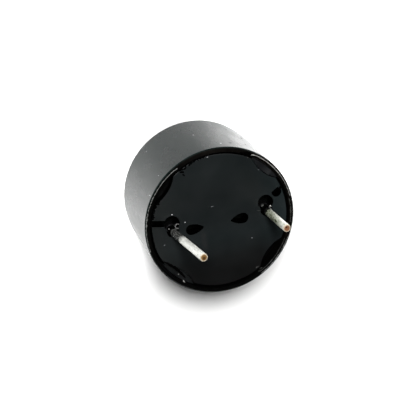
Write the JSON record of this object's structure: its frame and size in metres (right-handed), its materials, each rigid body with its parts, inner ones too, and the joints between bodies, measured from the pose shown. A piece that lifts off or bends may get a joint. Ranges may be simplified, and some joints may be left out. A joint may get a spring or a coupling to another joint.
{
  "type": "magnetic buzzer",
  "caption": "Small round magnetic buzzer: a black cup with a sound port, a base plate glued into its open end, and a long and a short tinned pin that stand out of the plate.",
  "frame": {"origin": "middle of the sound face, which it stands on", "axes": "+Z from the sound face to the pins, along the case's axis; the pins lie on the X axis, the long one on the -X side"},
  "size_m": [0.012, 0.012, 0.015],
  "materials": {
    "case_plastic": "satin moulded black plastic",
    "plate_plastic": "smooth, half-gloss black plastic",
    "board": "glass-fibre board with solder mask",
    "tinned_wire": "bright tinned brass wire",
    "solder": "bright solder",
    "enamelled_wire": "enamelled copper",
    "bobbin_plastic": "natural plastic",
    "iron": "plated soft iron",
    "ferrite": "ground, dark grey",
    "ring_brass": "turned",
    "spring_steel": "rolled sheet",
    "glue": "dark cured glue"
  },
  "bodies": {
    "root": {"case": "case_plastic", "base_plate": "plate_plastic", "circuit_board": "board", "long_pin": "tinned_wire", "short_pin": "tinned_wire", "long_pin_solder": "solder", "short_pin_solder": "solder", "long_lead_solder": "solder", "short_lead_solder": "solder", "long_coil_lead": "enamelled_wire", "short_coil_lead": "enamelled_wire", "coil": "enamelled_wire", "bobbin": "bobbin_plastic", "core_pole": "iron", "yoke_plate": "iron", "ring_magnet": "ferrite", "support_ring": "ring_brass", "diaphragm": "spring_steel", "mass_disc": "iron", "glue_bead_1": "glue", "glue_bead_2": "glue", "glue_bead_3": "glue", "glue_bead_4": "glue"}
  },
  "joints": []
}
